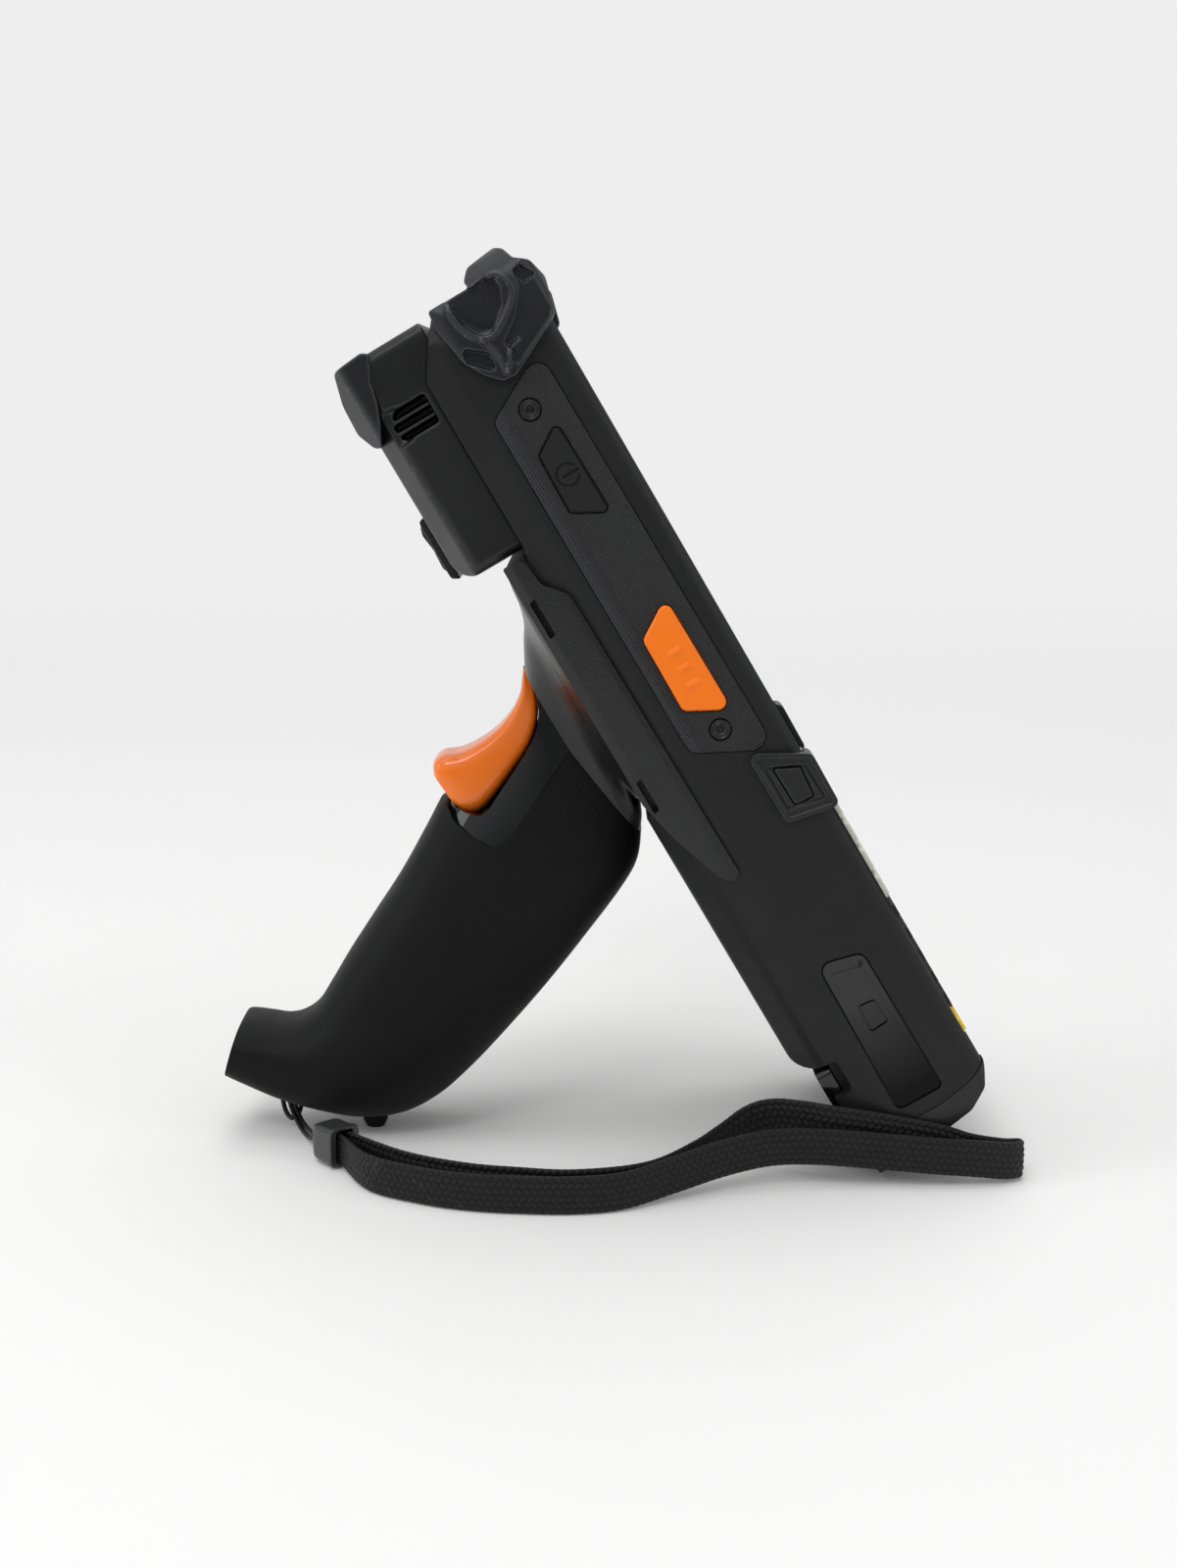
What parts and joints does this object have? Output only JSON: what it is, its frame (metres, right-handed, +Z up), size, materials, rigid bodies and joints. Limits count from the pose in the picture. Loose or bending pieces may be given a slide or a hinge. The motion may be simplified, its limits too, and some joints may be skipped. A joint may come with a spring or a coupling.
{
  "type": "handheld data collector",
  "caption": "Rugged handheld data collector with touch screen and keypad on a pistol grip with trigger, standing on heel and grip foot, wrist strap beside it.",
  "frame": {"origin": "middle of the grip's foot where it touches the floor", "axes": "+Z up; +X from the grip's foot towards the terminal's low end; the operator stands at +X and faces the screen; -Y is the operator's left"},
  "size_m": [0.1865, 0.099, 0.2068],
  "materials": {
    "housing_black": "moulded black polycarbonate blend, fine even grain",
    "cover_black": "dark front cover",
    "panel_grey": "dark grey with fine ribbed texture",
    "bumper_grey": "dark grey elastomer, soft sheen",
    "gloss_black": "polished black",
    "saddle_black": "semi-gloss black",
    "grip_black": "soft-touch black",
    "signal_orange": "bright orange",
    "key_white": "off-white keys",
    "key_black": "black silicone keys",
    "key_yellow": "yellow key",
    "button_grey": "matte dark grey",
    "screen_glass": "dark cover glass",
    "window_glass": "dark red scan window",
    "inner_grey": "inner module",
    "board_green": "circuit board",
    "steel": "steel",
    "screw_black": "black oxide steel",
    "webbing_black": "woven black webbing",
    "string_black": "thin braided string"
  },
  "bodies": {
    "terminal": {"body_housing": "housing_black", "front_cover": "cover_black", "front_seal": "key_black", "end_cap": "housing_black", "head_housing": "housing_black", "head_bumper": "grip_black", "camera_bezel": "saddle_black", "corner_bumper_left": "bumper_grey", "corner_bumper_right": "bumper_grey", "side_panel_left": "panel_grey", "side_panel_right": "panel_grey", "case_screws": "screw_black", "side_clip_left": "housing_black", "side_clip_right": "housing_black", "dock_plate_left": "gloss_black", "dock_plate_right": "gloss_black", "display_glass": "screen_glass", "lcd_module": "inner_grey", "keypad_mat": "inner_grey", "main_board": "board_green", "speaker": "inner_grey", "battery_pack": "housing_black", "scan_engine": "inner_grey", "scan_window": "window_glass", "camera_module": "gloss_black", "grip_saddle": "saddle_black", "trigger_housing": "gloss_black", "trigger_pin": "steel", "trigger_spring": "steel", "trigger_switch": "button_grey", "grip_shell_left": "grip_black", "grip_shell_right": "grip_black", "grip_foot": "grip_black", "strap_eyelet": "steel", "strap_string": "string_black", "strap_slider": "button_grey", "strap_band": "webbing_black"},
    "key_1": {"key_1": "key_white"},
    "key_2": {"key_2": "key_white"},
    "key_3": {"key_3": "key_white"},
    "key_4": {"key_4": "key_white"},
    "key_5": {"key_5": "key_white"},
    "key_6": {"key_6": "key_white"},
    "key_7": {"key_7": "key_white"},
    "key_8": {"key_8": "key_white"},
    "key_9": {"key_9": "key_white"},
    "key_star": {"key_star": "key_white"},
    "key_0": {"key_0": "key_white"},
    "key_hash": {"key_hash": "key_white"},
    "nav_pad": {"nav_pad": "key_black"},
    "scan_key": {"scan_key": "signal_orange"},
    "fn_key": {"fn_key": "key_yellow"},
    "letter_keys": {"letter_keys": "key_black"},
    "power_button": {"power_button": "button_grey"},
    "volume_rocker": {"volume_rocker": "button_grey"},
    "scan_button_left": {"scan_button_left": "signal_orange"},
    "scan_button_right": {"scan_button_right": "signal_orange"},
    "battery_latch": {"battery_latch": "gloss_black"},
    "trigger": {"trigger": "signal_orange"}
  },
  "joints": [
    {"name": "key_1_press", "type": "slide", "parent": "terminal", "child": "key_1", "axis": [-0.862, 0, -0.5068], "range_m": [0, 0.0007], "stiffness_N_per_m": 600},
    {"name": "key_2_press", "type": "slide", "parent": "terminal", "child": "key_2", "axis": [-0.862, 0, -0.5068], "range_m": [0, 0.0007], "stiffness_N_per_m": 600},
    {"name": "key_3_press", "type": "slide", "parent": "terminal", "child": "key_3", "axis": [-0.862, 0, -0.5068], "range_m": [0, 0.0007], "stiffness_N_per_m": 600},
    {"name": "key_4_press", "type": "slide", "parent": "terminal", "child": "key_4", "axis": [-0.862, 0, -0.5068], "range_m": [0, 0.0007], "stiffness_N_per_m": 600},
    {"name": "key_5_press", "type": "slide", "parent": "terminal", "child": "key_5", "axis": [-0.862, 0, -0.5068], "range_m": [0, 0.0007], "stiffness_N_per_m": 600},
    {"name": "key_6_press", "type": "slide", "parent": "terminal", "child": "key_6", "axis": [-0.862, 0, -0.5068], "range_m": [0, 0.0007], "stiffness_N_per_m": 600},
    {"name": "key_7_press", "type": "slide", "parent": "terminal", "child": "key_7", "axis": [-0.862, 0, -0.5068], "range_m": [0, 0.0007], "stiffness_N_per_m": 600},
    {"name": "key_8_press", "type": "slide", "parent": "terminal", "child": "key_8", "axis": [-0.862, 0, -0.5068], "range_m": [0, 0.0007], "stiffness_N_per_m": 600},
    {"name": "key_9_press", "type": "slide", "parent": "terminal", "child": "key_9", "axis": [-0.862, 0, -0.5068], "range_m": [0, 0.0007], "stiffness_N_per_m": 600},
    {"name": "key_star_press", "type": "slide", "parent": "terminal", "child": "key_star", "axis": [-0.862, 0, -0.5068], "range_m": [0, 0.0007], "stiffness_N_per_m": 600},
    {"name": "key_0_press", "type": "slide", "parent": "terminal", "child": "key_0", "axis": [-0.862, 0, -0.5068], "range_m": [0, 0.0007], "stiffness_N_per_m": 600},
    {"name": "key_hash_press", "type": "slide", "parent": "terminal", "child": "key_hash", "axis": [-0.862, 0, -0.5068], "range_m": [0, 0.0007], "stiffness_N_per_m": 600},
    {"name": "nav_pad_press", "type": "slide", "parent": "terminal", "child": "nav_pad", "axis": [-0.862, 0, -0.5068], "range_m": [0, 0.0006], "stiffness_N_per_m": 600},
    {"name": "scan_key_press", "type": "slide", "parent": "terminal", "child": "scan_key", "axis": [-0.862, 0, -0.5068], "range_m": [0, 0.0007], "stiffness_N_per_m": 600},
    {"name": "fn_key_press", "type": "slide", "parent": "terminal", "child": "fn_key", "axis": [-0.862, 0, -0.5068], "range_m": [0, 0.0007], "stiffness_N_per_m": 600},
    {"name": "letter_keys_press", "type": "slide", "parent": "terminal", "child": "letter_keys", "axis": [-0.862, 0, -0.5068], "range_m": [0, 0.0007], "stiffness_N_per_m": 1500},
    {"name": "power_button_press", "type": "slide", "parent": "terminal", "child": "power_button", "axis": [0, 1, 0], "range_m": [0, 0.0006], "stiffness_N_per_m": 800},
    {"name": "scan_button_left_press", "type": "slide", "parent": "terminal", "child": "scan_button_left", "axis": [0, 1, 0], "range_m": [0, 0.0006], "stiffness_N_per_m": 800},
    {"name": "scan_button_right_press", "type": "slide", "parent": "terminal", "child": "scan_button_right", "axis": [0, -1, 0], "range_m": [0, 0.0006], "stiffness_N_per_m": 800},
    {"name": "volume_rocker_tilt", "type": "hinge", "parent": "terminal", "child": "volume_rocker", "pos_m": [0.049, 0.0363, 0.15954], "axis": [0.862, 0, 0.5068], "range_deg": [-2, 2], "stiffness_Nm_per_rad": 0.2},
    {"name": "battery_latch_slide", "type": "slide", "parent": "terminal", "child": "battery_latch", "axis": [0.5068, 0, -0.862], "range_m": [0, 0.003], "stiffness_N_per_m": 400},
    {"name": "trigger_pull", "type": "hinge", "parent": "terminal", "child": "trigger", "pos_m": [0.0426, 0, 0.11182], "axis": [0, -1, 0], "range_deg": [0, 7], "stiffness_Nm_per_rad": 0.6, "springref_deg": -2.86, "deforming": ["trigger_spring"]}
  ]
}
